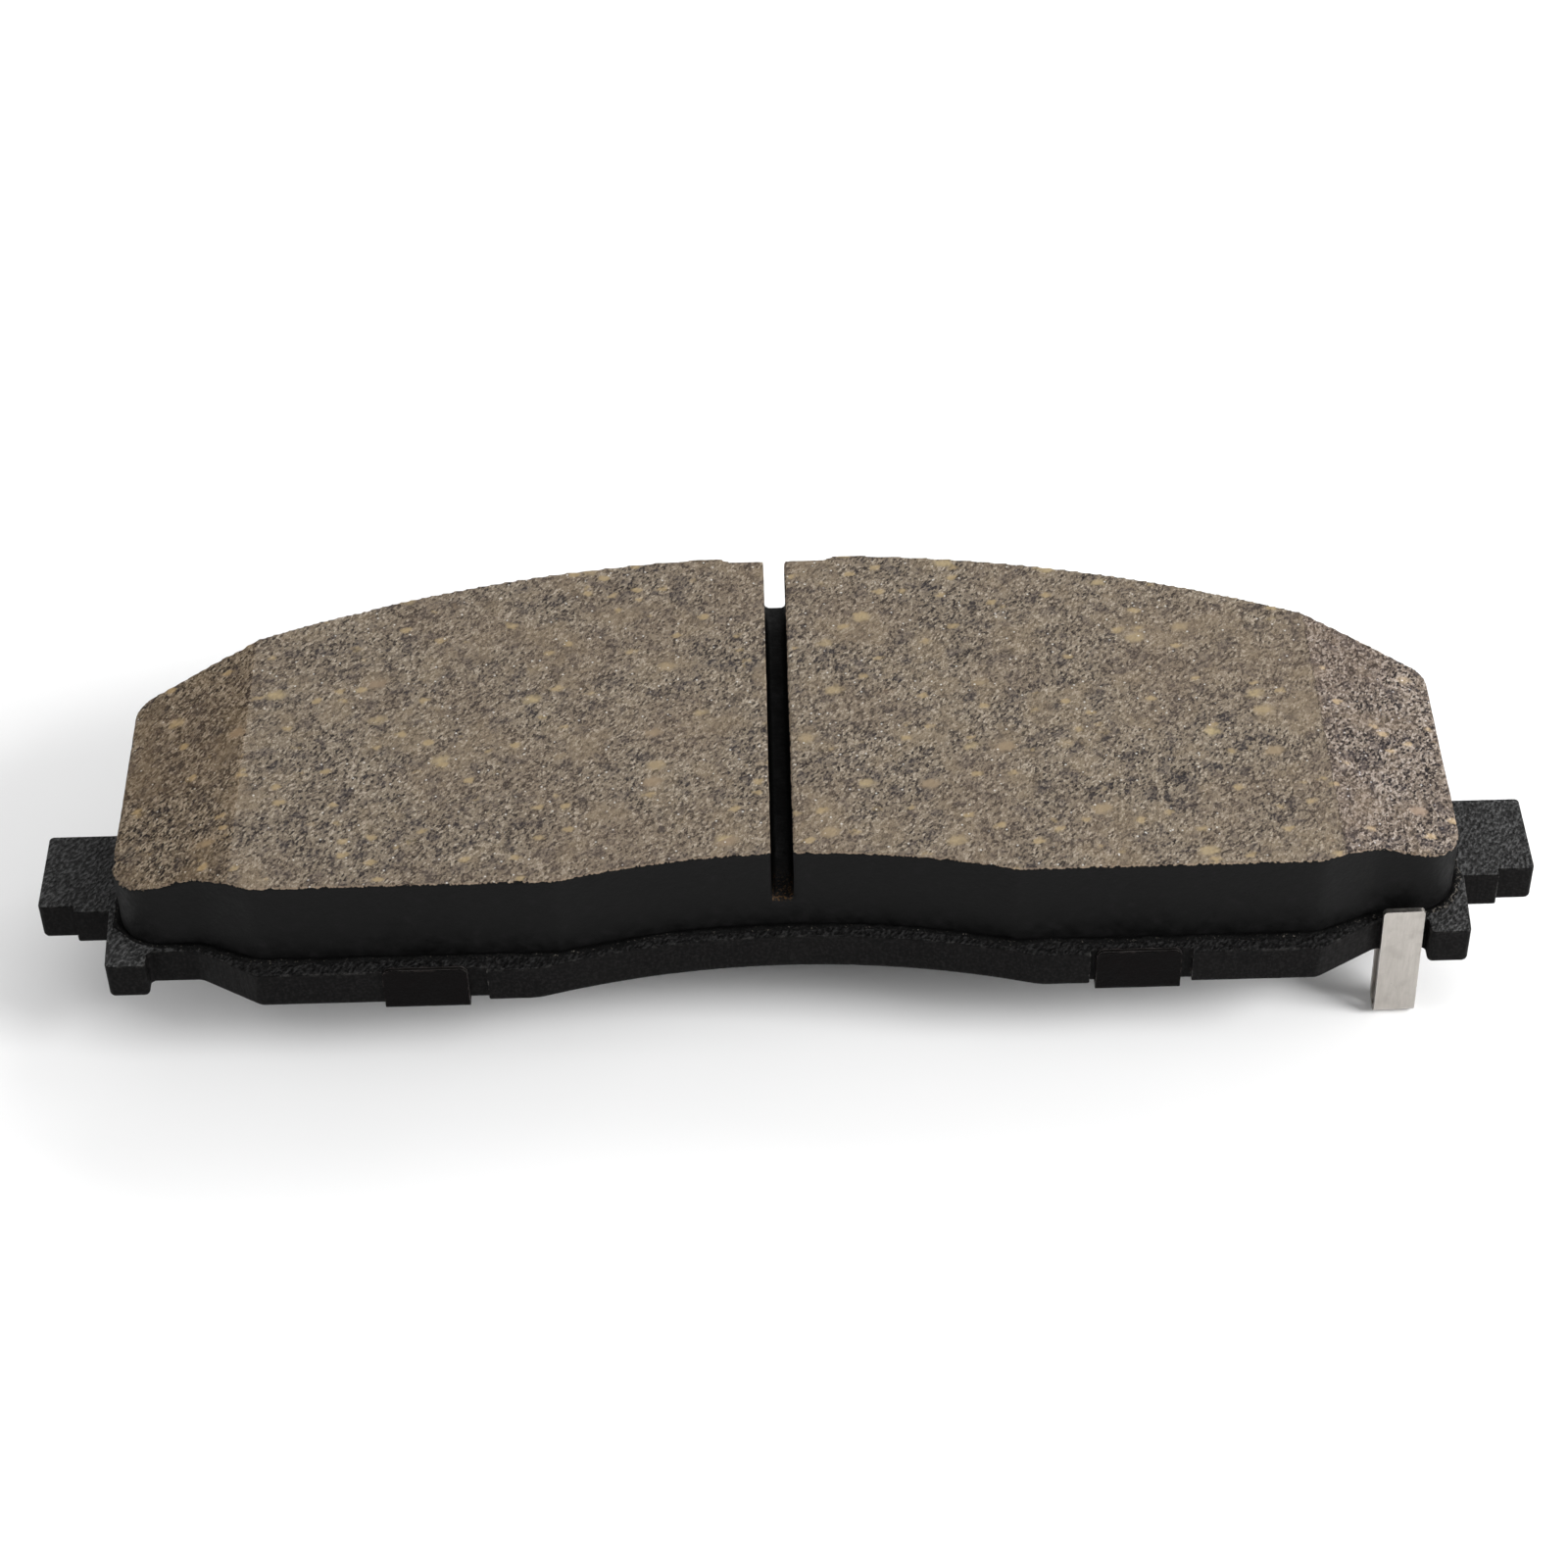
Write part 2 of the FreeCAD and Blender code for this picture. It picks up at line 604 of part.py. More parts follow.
def make_wear_indicator():
    """A hairpin strip: foot under the plate, back leg down, front leg up past the plate."""
    body = make_body("wear_indicator", PLATE_BACK)
    profile = make_sketch(body, "StripProfile", "YZ_Plane")
    back_y = "strip_front_y + hairpin_depth"
    inside_front = "strip_front_y + strip_thickness"
    inside_back = back_y + " - strip_thickness"
    tip = "plate_thickness + strip_rise"
    draw_outline(profile, [
        ("foot_end_y", "0", "line"),
        (inside_back, "0", "line"),
        (inside_back, "-hairpin_drop + strip_thickness", "line"),
        (inside_front, "-hairpin_drop + strip_thickness", "line"),
        (inside_front, tip, "line"),
        ("strip_front_y", tip, "line"),
        ("strip_front_y", "-hairpin_drop", "line"),
        (back_y, "-hairpin_drop", "line"),
        (back_y, "-strip_thickness", "line"),
        ("foot_end_y", "-strip_thickness", "line"),
    ])
    body.Tip = pad(body, profile, "strip_width", both_ways=True)
    doc.recompute()

    bottom = number("-hairpin_drop")
    inside = number("-hairpin_drop + strip_thickness")
    bends = [
        ("HairpinOutside", "hairpin_depth / 2 - 0.001",
         [(number("strip_front_y"), bottom), (number(back_y), bottom)]),
        ("HairpinInside", "hairpin_depth / 2 - strip_thickness - 0.001",
         [(number(inside_front), inside), (number(inside_back), inside)]),
        ("FootOutside", "foot_bend + strip_thickness", [(number(inside_back), 0)]),
        ("FootInside", "foot_bend", [(number(back_y), number("-strip_thickness"))]),
    ]
    for name, radius, places in bends:
        edges = [edge for y, z in places for edge in fold_edges(body, y, z)]
        round_edges(body, edges, radius, name)

    top = number(tip)
    tip_corners = edges_where(body.Tip.Shape, lambda edge: (
        abs(edge.BoundBox.ZMin - top) < TINY and edge.BoundBox.ZLength < TINY
        and edge.BoundBox.XLength < TINY))
    foot_corners = edges_where(body.Tip.Shape, lambda edge: (
        abs(edge.BoundBox.YMin - number("foot_end_y")) < TINY and edge.BoundBox.YLength < TINY
        and edge.BoundBox.XLength < TINY))
    round_edges(body, tip_corners + foot_corners, "strip_corner_round", "StripCorners")

    hole = make_sketch(body, "StripHole")
    draw_circle(hole, "0", "rivet_y", "rivet_diameter + rivet_play")
    pocket(body, hole)

    sag = "strip_width / 2 * sin(strip_lean * 1deg)"
    bind(body, ".Placement.Base.x", "strip_x")
    bind(body, ".Placement.Base.z", PLATE_BACK + " - " + sag)
    body.Placement.Rotation = FreeCAD.Rotation(FreeCAD.Vector(0, 1, 0), number("-strip_lean"))
    doc.recompute()
    return body


def make_wear_indicator_rivet():
    """A domed head under the strip, a shank through the plate and a flush, flared end."""
    body = make_body("wear_indicator_rivet", PLATE_BACK, "strip_x")
    bind(body, ".Placement.Base.y", "rivet_y")
    profile = make_sketch(body, "RivetProfile", "XZ_Plane")
    seat = "-strip_thickness - strip_width * sin(strip_lean * 1deg) - 0.02"
    draw_outline(profile, [
        ("0", seat + " - rivet_head_height", "arc"),
        ("rivet_head_diameter / 2", seat, "line"),
        ("rivet_diameter / 2", seat, "line"),
        ("rivet_diameter / 2", "plate_thickness - rivet_flare_depth", "line"),
        ("rivet_flare_diameter / 2", "plate_thickness", "line"),
        ("0", "plate_thickness", "line"),
    ])
    turned = body.newObject("PartDesign::Revolution", "RivetTurned")
    turned.Profile = profile
    turned.ReferenceAxis = (profile, ["V_Axis"])
    turned.Angle = 360
    body.Tip = turned
    doc.recompute()
    return body


# ---------------------------------------------------------------- build, check and write

def check_objects():
    """Stop if any object of the document failed without raising."""
    for thing in doc.Objects:
        if "Invalid" in thing.State or "Error" in thing.State:
            raise RuntimeError("%s did not compute: %s" % (thing.Label, thing.State))


def write_parts(bodies):
    os.makedirs("parts", exist_ok=True)
    for body in bodies:
        shape = body.Shape
        if shape.isNull() or not shape.isValid() or len(shape.Solids) != 1:
            raise RuntimeError(body.Label + " is not one valid solid")
        shape.exportStep(os.path.join("parts", body.Label + ".step"))
        box = shape.BoundBox
        print("%-22s %9.1f mm3  x %7.2f %7.2f  y %7.2f %7.2f  z %6.2f %6.2f" % (
            body.Label, shape.Volume, box.XMin, box.XMax, box.YMin, box.YMax, box.ZMin, box.ZMax))


fill_sheet()
parts = [
    make_backing_plate(),
    make_bonding_adhesive(),
    make_underlayer(),
    make_friction_lining(),
    make_shim_layer("shim_inner_rubber", "0", "shim_rubber"),
    make_shim_layer("shim_steel_core", "shim_rubber", "shim_rubber + shim_core"),
    make_shim_layer("shim_outer_rubber", "shim_rubber + shim_core", "2 * shim_rubber + shim_core"),
    make_shim_adhesive(),
    make_wear_indicator(),
    make_wear_indicator_rivet(),
]
doc.recompute()
check_objects()
write_parts(parts)
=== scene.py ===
"""The looks of a disc brake pad: worn compound, black coated plate, rubber shim, steel wear indicator."""

import math

import bmesh
import bpy
import numpy as np
from mathutils import Matrix, Vector, kdtree, noise


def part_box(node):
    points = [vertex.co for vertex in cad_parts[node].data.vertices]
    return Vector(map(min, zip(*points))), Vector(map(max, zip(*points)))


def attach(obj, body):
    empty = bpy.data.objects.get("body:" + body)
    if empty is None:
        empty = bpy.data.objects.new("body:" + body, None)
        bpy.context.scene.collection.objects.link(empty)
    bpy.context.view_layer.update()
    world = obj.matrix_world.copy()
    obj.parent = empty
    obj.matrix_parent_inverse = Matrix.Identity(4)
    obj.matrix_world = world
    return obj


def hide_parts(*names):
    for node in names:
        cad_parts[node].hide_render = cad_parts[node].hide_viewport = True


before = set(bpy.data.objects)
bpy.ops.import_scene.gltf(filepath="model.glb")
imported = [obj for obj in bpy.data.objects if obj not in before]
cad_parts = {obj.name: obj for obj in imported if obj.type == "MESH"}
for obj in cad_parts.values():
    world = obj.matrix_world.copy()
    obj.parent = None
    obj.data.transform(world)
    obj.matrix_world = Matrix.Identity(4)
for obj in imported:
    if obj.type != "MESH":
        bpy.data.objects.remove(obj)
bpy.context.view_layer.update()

MM = 0.001

# Vertices closer together than this are one and the same.
SAME_PLACE = 0.001 * MM

# Driving sizes of the friction block, as its CAD solid has them.
CHAMFER_START = 66.8 * MM
CHAMFER_SLOPE = math.tan(math.radians(15))
SLOT_CENTRE = -0.5 * MM
SLOT_WIDTH = 2.7 * MM
SLOT_DEPTH = 8.05 * MM

BLOCK_LOW, BLOCK_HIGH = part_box("friction_lining")
FACE_HEIGHT = BLOCK_HIGH.z
PLATE_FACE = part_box("backing_plate")[1].z
STRIP_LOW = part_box("wear_indicator")[0]

# How finely the block is meshed, and how far its surface and rim stray from true.
BLOCK_VOXEL = 0.38 * MM
FACE_RELIEF = 0.018 * MM
WALL_RELIEF = 0.045 * MM
RIM_CRUMBLE = 0.05 * MM
RIM_CHIP = 0.45 * MM
CORNER_CRUMBLE = 0.30 * MM
RIM_REACH = 0.9 * MM

# Vertices down to RIM_DEPTH below the face belong to the rim. A bite gets shallower by BITE_SLOPE
# times the distance from the rim.
RIM_DEPTH = 0.35 * MM
BITE_SLOPE = 0.8

# The block's left near corner is worn more than the rest: it lies left of and nearer than this.
WORN_CORNER_X = -70 * MM
WORN_CORNER_Y = -18 * MM

# The walls' lumps fade out toward the foot, over this height.
WALL_FADE = 1.5 * MM

# Vertices up to FOOT_LEVEL above the foot lie on it, and those of the walls' lowest row up to FOOT_ROW.
FOOT_LEVEL = 0.02 * MM
FOOT_ROW = 1.3 * BLOCK_VOXEL
FOOT_WELD = 0.03 * MM

# The ridge of squeezed-out compound that runs round the block's foot.
FLASH_STEP = 0.25 * MM
FLASH_WIDTH = 1.05 * MM
FLASH_HEIGHT = 0.24 * MM
GLUE_COVER = 0.13 * MM

# The sprayed black paint on the walls: its darkest, middle and lightest tone, and its shine.
PAINT_TONES = ((9, 9, 9), (15, 15, 15), (22, 21, 22))
PAINT_SHINE = 0.09


# ---------------------------------------------------------------- meshes

def copy_of(node, name):
    """A new piece with the shape of a CAD node, its split vertices welded."""
    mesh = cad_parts[node].data.copy()
    mesh.name = name
    mesh.materials.clear()
    welded = bmesh.new()
    welded.from_mesh(mesh)
    bmesh.ops.remove_doubles(welded, verts=welded.verts, dist=SAME_PLACE)
    welded.to_mesh(mesh)
    welded.free()
    piece = bpy.data.objects.new(name, mesh)
    bpy.context.scene.collection.objects.link(piece)
    return piece


def apply_modifiers(piece):
    """Makes the piece's modified shape its own mesh."""
    graph = bpy.context.evaluated_depsgraph_get()
    mesh = bpy.data.meshes.new_from_object(piece.evaluated_get(graph))
    piece.modifiers.clear()
    piece.data = mesh


def remesh(piece, voxel, node):
    """Covers the piece in small even faces that still lie on the CAD node's surface."""
    grid = piece.modifiers.new("grid", "REMESH")
    grid.mode = "VOXEL"
    grid.voxel_size = voxel
    grid.use_smooth_shade = True
    snug = piece.modifiers.new("snug", "SHRINKWRAP")
    snug.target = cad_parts[node]
    snug.wrap_method = "NEAREST_SURFACEPOINT"
    apply_modifiers(piece)


def vertex_rows(mesh, what):
    """The places ("co") or the directions ("normal") of a mesh's vertices, one row for each."""
    flat = np.zeros(len(mesh.vertices) * 3, np.float32)
    mesh.vertices.foreach_get(what, flat)
    return flat.reshape(-1, 3).astype(float)


def set_positions(mesh, points):
    mesh.vertices.foreach_set("co", points.astype(np.float32).ravel())
    mesh.update()


def noise_at(points, size, seed=0):
    """Smooth noise from -1 to 1 at each point, whose lumps are about size across."""
    shift = Vector((seed * 17.3, seed * 9.1, seed * 5.7))
    return np.array([noise.noise(Vector(p / size) + shift) for p in points])


def depth_below_face(points):
    """How far each point lies below the worn face or the end chamfers."""
    past_chamfer = np.maximum(0, np.abs(points[:, 0]) - CHAMFER_START)
    return FACE_HEIGHT - past_chamfer * CHAMFER_SLOPE - points[:, 2]


def crumble_rim(points, facing):
    """Chips and wears the rim between the face and the walls."""
    depth = depth_below_face(points)
    on_rim = (depth < RIM_DEPTH) & (facing[:, 2] > 0.2) & (facing[:, 2] < 0.93)
    rim = np.nonzero(on_rim)[0]
    tree = kdtree.KDTree(len(rim))
    for place, i in enumerate(rim):
        tree.insert(points[i], place)
    tree.balance()
    fine = noise_at(points[rim], 0.7 * MM, seed=1)
    coarse = noise_at(points[rim], 3.2 * MM, seed=2)
    size = RIM_CRUMBLE * (0.5 + 0.5 * fine) + RIM_CHIP * np.maximum(0, coarse - 0.3)
    worn_corner = (points[rim, 0] < WORN_CORNER_X) & (points[rim, 1] < WORN_CORNER_Y)
    size[worn_corner] += CORNER_CRUMBLE * np.maximum(0, 0.25 + fine[worn_corner])
    near = np.nonzero(depth < RIM_REACH)[0]
    for i in near:
        _, place, gap = tree.find(points[i])
        bite = size[place] - BITE_SLOPE * gap
        if bite > 0:
            points[i] -= facing[rim[place]] * bite
    return points


def roughen(points, facing):
    """Gives the ground face a fine relief and the moulded walls a slightly lumpy one."""
    upward = np.clip((facing[:, 2] - 0.5) * 4, 0, 1)
    above_foot = np.clip((points[:, 2] - BLOCK_LOW.z) / WALL_FADE, 0, 1)
    face = FACE_RELIEF * (noise_at(points, 0.9 * MM, seed=3) + noise_at(points, 0.45 * MM, seed=4))
    wall = WALL_RELIEF * (noise_at(points, 5 * MM, seed=5) + 0.5 * noise_at(points, 1.6 * MM, seed=6))
    move = upward * face + (1 - upward) * wall * above_foot
    return points + facing * move[:, None]


def square_foot(points):
    """Brings the walls' lowest row down to the foot, so that no groove shows above the underlayer."""
    above_foot = points[:, 2] - BLOCK_LOW.z
    row = (above_foot > FOOT_LEVEL) & (above_foot < FOOT_ROW)
    points[row, 2] = BLOCK_LOW.z
    return points


def flatten_underside(mesh):
    """Welds the foot, then joins the hidden, flat underside into one face, which saves triangles."""
    shape = bmesh.new()
    shape.from_mesh(mesh)
    bmesh.ops.remove_doubles(shape, verts=shape.verts, dist=FOOT_WELD)
    level = BLOCK_LOW.z + FOOT_LEVEL
    hidden = {f for f in shape.faces if all(v.co.z < level for v in f.verts)}
    inner = {e for f in hidden for e in f.edges if all(g in hidden for g in e.link_faces)}
    bmesh.ops.dissolve_edges(shape, edges=list(inner), use_verts=True)
    shape.to_mesh(mesh)
    shape.free()


def make_friction_block():
    """The worn block: ground face, end chamfers, slot, painted walls and a crumbling rim."""
    block = copy_of("friction_lining", "friction_block")
    remesh(block, BLOCK_VOXEL, "friction_lining")
    points = vertex_rows(block.data, "co")
    facing = vertex_rows(block.data, "normal")
    points = roughen(points, facing)
    points = crumble_rim(points, facing)
    points = square_foot(points)
    set_positions(block.data, points)
    flatten_underside(block.data)
    block.data.set_sharp_from_angle(angle=math.radians(60))
    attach(block, "root")
    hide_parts("friction_lining")
    return block


def foot_outline():
    """The outer outline of the underlayer's foot, in order, as points evenly spaced along it."""
    shape = bmesh.new()
    shape.from_mesh(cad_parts["underlayer"].data)
    bmesh.ops.remove_doubles(shape, verts=shape.verts, dist=SAME_PLACE)
    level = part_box("bonding_adhesive")[1].z
    foot = [e for e in shape.edges
            if all(abs(v.co.z - level) < 0.01 * MM for v in e.verts)
            and any(abs(f.normal.z) < 0.5 for f in e.link_faces)]
    linked = {}
    for edge in foot:
        a, b = edge.verts
        linked.setdefault(a.index, []).append(b.index)
        linked.setdefault(b.index, []).append(a.index)
    places = {v.index: v.co.copy() for v in shape.verts if v.index in linked}
    shape.free()
    start = max(places, key=lambda i: places[i].x)
    loop = [start, linked[start][0]]
    while loop[-1] != start:
        ahead = [i for i in linked[loop[-1]] if i != loop[-2]]
        loop.append(ahead[0])
    corners = np.array([places[i] for i in loop])[:, :2]
    lengths = np.linalg.norm(np.diff(corners, axis=0), axis=1)
    travelled = np.concatenate([[0], np.cumsum(lengths)])
    steps = int(travelled[-1] / FLASH_STEP)
    along = np.linspace(0, travelled[-1], steps, endpoint=False)
    return np.column_stack([np.interp(along, travelled, corners[:, k]) for k in (0, 1)])


def make_bond_line_flash():
    """A crumbly ridge of compound and glue, squeezed out on the plate round the block's foot."""
    outline = foot_outline()
    along = np.roll(outline, -2, axis=0) - np.roll(outline, 2, axis=0)
    along /= np.linalg.norm(along, axis=1)[:, None]
    outward = np.column_stack([along[:, 1], -along[:, 0]])
    following = np.roll(outline, -1, axis=0)
    signed_area = np.sum(outline[:, 0] * following[:, 1] - following[:, 0] * outline[:, 1])
    if signed_area < 0:
        outward = -outward
    flat = np.column_stack([outline, np.zeros(len(outline))])
    wide = FLASH_WIDTH * (0.85 + 0.75 * noise_at(flat, 6 * MM, seed=7)
                          + 0.35 * noise_at(flat, 1.3 * MM, seed=8))
    wide = np.clip(wide, 0.4 * MM, 1.7 * MM)
    tall = FLASH_HEIGHT * (0.8 + 0.8 * noise_at(flat, 0.9 * MM, seed=9)
                           + 0.4 * noise_at(flat, 4 * MM, seed=10))
    tall = np.clip(tall, 0.05 * MM, 0.5 * MM)
    # Each rib runs out from the wall: (share of the width, share of the height above the plate).
    rib = [(-0.25, -0.1), (-0.25, 0.2), (0.12, 0.15), (0.3, 0.8),
           (0.52, 1.0), (0.75, 0.7), (1.0, 0.1), (1.05, -0.1)]
    shape = bmesh.new()
    rings = []
    for i, point in enumerate(outline):
        ring = []
        for k, (out, up) in enumerate(rib):
            spot = point + outward[i] * wide[i] * out
            rough = 0.25 * noise.noise(Vector((spot[0], spot[1], 0)) / (0.5 * MM) + Vector((0, 0, k)))
            height = PLATE_FACE + tall[i] * (up + (rough if 0 < up else 0))
            if 0 < up and out < 0.2:
                height = max(height, PLATE_FACE + GLUE_COVER)
            ring.append(shape.verts.new((spot[0], spot[1], height)))
        rings.append(ring)
    for i, ring in enumerate(rings):
        after = rings[(i + 1) % len(rings)]
        for k in range(len(ring)):
            other = (k + 1) % len(ring)
            shape.faces.new((ring[k], ring[other], after[other], after[k]))
    bmesh.ops.recalc_face_normals(shape, faces=shape.faces)
    for face in shape.faces:
        face.smooth = True
    mesh = bpy.data.meshes.new("bond_line_flash")
    shape.to_mesh(mesh)
    shape.free()
    outness = mesh.attributes.new("outness", "FLOAT", "POINT")
    outness.data.foreach_set("value", [out for _ in outline for out, _ in rib])
    flash = bpy.data.objects.new("bond_line_flash", mesh)
    bpy.context.scene.collection.objects.link(flash)
    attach(flash, "root")
    return flash


# ---------------------------------------------------------------- materials

def tone(red, green, blue):
    """A colour as it looks on a screen, from 0 to 255, turned into the light that a shader works with."""
    def light(level):
        share = level / 255
        return share / 12.92 if share <= 0.04045 else ((share + 0.055) / 1.055) ** 2.4
    return (light(red), light(green), light(blue), 1)


class Recipe:
    """One material's nodes. Patterns are measured in millimetres on the object itself."""

    def __init__(self, name):
        self.material = bpy.data.materials.new(name)
        self.material.use_nodes = True
        self.tree = self.material.node_tree
        self.tree.nodes.clear()
        self.shader = self.add("ShaderNodeBsdfPrincipled")
        output = self.add("ShaderNodeOutputMaterial")
        self.tree.links.new(self.shader.outputs["BSDF"], output.inputs["Surface"])
        spot = self.add("ShaderNodeTexCoord").outputs["Object"]
        scaled = self.add("ShaderNodeVectorMath", operation="SCALE")
        self.feed(scaled.inputs[0], spot)
        scaled.inputs["Scale"].default_value = 1 / MM
        self.place = scaled.outputs[0]
        split = self.add("ShaderNodeSeparateXYZ")
        self.feed(split.inputs[0], self.place)
        self.x, self.y, self.z = split.outputs

    def add(self, kind, **settings):
        node = self.tree.nodes.new(kind)
        for key, value in settings.items():
            setattr(node, key, value)
        return node

    def feed(self, socket, value):
        if isinstance(value, bpy.types.NodeSocket):
            self.tree.links.new(value, socket)
        else:
            socket.default_value = value

    def set(self, **values):
        """Sets the shader's own sockets: base_color means "Base Color"."""
        for key, value in values.items():
            self.feed(self.shader.inputs[key.replace("_", " ").title().replace("Ior", "IOR")], value)

    def stretch(self, scale, turn=0.0):
        """The place, turned by so many degrees in plan and scaled along each axis."""
        node = self.add("ShaderNodeMapping", vector_type="TEXTURE")
        self.feed(node.inputs["Vector"], self.place)
        node.inputs["Scale"].default_value = scale
        node.inputs["Rotation"].default_value[2] = math.radians(turn)
        return node.outputs[0]

    def noise(self, size, detail=2.0, roughness=0.5, place=None):
        node = self.add("ShaderNodeTexNoise")
        self.feed(node.inputs["Vector"], place or self.place)
        node.inputs["Scale"].default_value = 1 / size
        node.inputs["Detail"].default_value = detail
        node.inputs["Roughness"].default_value = roughness
        return node.outputs[0]

    def cells(self, size, place=None):
        """Cells about size across: the distance from a cell's centre in mm, and two random numbers."""
        node = self.add("ShaderNodeTexVoronoi", feature="F1")
        self.feed(node.inputs["Vector"], place or self.place)
        node.inputs["Scale"].default_value = 1 / size
        split = self.add("ShaderNodeSeparateColor")
        self.feed(split.inputs[0], node.outputs["Color"])
        return self.math("MULTIPLY", node.outputs["Distance"], size), split.outputs[0], split.outputs[1]

    def math(self, operation, first, second=0.0, third=0.0):
        node = self.add("ShaderNodeMath", operation=operation)
        self.feed(node.inputs[0], first)
        self.feed(node.inputs[1], second)
        self.feed(node.inputs[2], third)
        return node.outputs[0]

    def span(self, value, low, high, to_low=0.0, to_high=1.0):
        """Turns low..high into to_low..to_high, gently at both ends."""
        node = self.add("ShaderNodeMapRange", interpolation_type="SMOOTHSTEP")
        self.feed(node.inputs["Value"], value)
        self.feed(node.inputs["From Min"], low)
        self.feed(node.inputs["From Max"], high)
        node.inputs["To Min"].default_value = to_low
        node.inputs["To Max"].default_value = to_high
        return node.outputs[0]

    def mix(self, share, first, second, blend="MIX"):
        node = self.add("ShaderNodeMix", data_type="RGBA", blend_type=blend)
        self.feed(node.inputs[0], share)
        self.feed(node.inputs[6], first)
        self.feed(node.inputs[7], second)
        return node.outputs[2]

    def blend(self, share, first, second):
        """A number between first and second."""
        node = self.add("ShaderNodeMix", data_type="FLOAT")
        self.feed(node.inputs[0], share)
        self.feed(node.inputs[2], first)
        self.feed(node.inputs[3], second)
        return node.outputs[0]

    def ramp(self, value, stops):
        """Colours along a number: stops are (place from 0 to 1, colour)."""
        node = self.add("ShaderNodeValToRGB")
        self.feed(node.inputs[0], value)
        marks = node.color_ramp.elements
        while len(marks) < len(stops):
            marks.new(0.5)
        for mark, (place, colour) in zip(marks, stops):
            mark.position = place
            mark.color = colour
        return node.outputs[0]

    def bump(self, height, depth, under=None):
        """Relief of so many millimetres between heights 0 and 1, laid over another relief."""
        node = self.add("ShaderNodeBump")
        node.inputs["Distance"].default_value = depth * MM
        self.feed(node.inputs["Height"], height)
        if under is not None:
            self.feed(node.inputs["Normal"], under)
        return node.outputs[0]

    def edge(self, width):
        """From 0 on flat ground to 1 on a convex or concave edge, within width millimetres."""
        soft = self.add("ShaderNodeBevel", samples=4)
        soft.inputs["Radius"].default_value = width * MM
        true = self.add("ShaderNodeNewGeometry")
        product = self.add("ShaderNodeVectorMath", operation="DOT_PRODUCT")
        self.feed(product.inputs[0], soft.outputs[0])
        self.feed(product.inputs[1], true.outputs["Normal"])
        return self.span(product.outputs["Value"], 0.995, 0.9)

    def facing(self):
        """How far the surface faces up, from -1 to 1."""
        node = self.add("ShaderNodeNewGeometry")
        split = self.add("ShaderNodeSeparateXYZ")
        self.feed(split.inputs[0], node.outputs["True Normal"])
        return split.outputs[2]


def depth_of(recipe):
    """Millimetres below the worn face or the end chamfers, as in depth_below_face."""
    past = recipe.math("SUBTRACT", recipe.math("ABSOLUTE", recipe.x), CHAMFER_START / MM)
    drop = recipe.math("MULTIPLY", recipe.math("MAXIMUM", past, 0.0), CHAMFER_SLOPE)
    level = recipe.math("SUBTRACT", FACE_HEIGHT / MM, recipe.z)
    return recipe.math("SUBTRACT", level, drop)


def chips(recipe, size, widest, share):
    """Flat chips, one to a cell in a share of the cells: a mask, soft at the edge, and each one's shade."""
    wobble = recipe.noise(0.7, 1.0)
    distance, pick, shade = recipe.cells(size, recipe.stretch((1.25, 0.85, 1.0), turn=12))
    uneven = recipe.math("ADD", distance, recipe.span(wobble, 0.2, 0.8, -0.22, 0.22))
    inside = recipe.span(uneven, widest, widest * 0.35)
    chosen = recipe.math("LESS_THAN", pick, share)
    return recipe.math("MULTIPLY", inside, chosen), shade


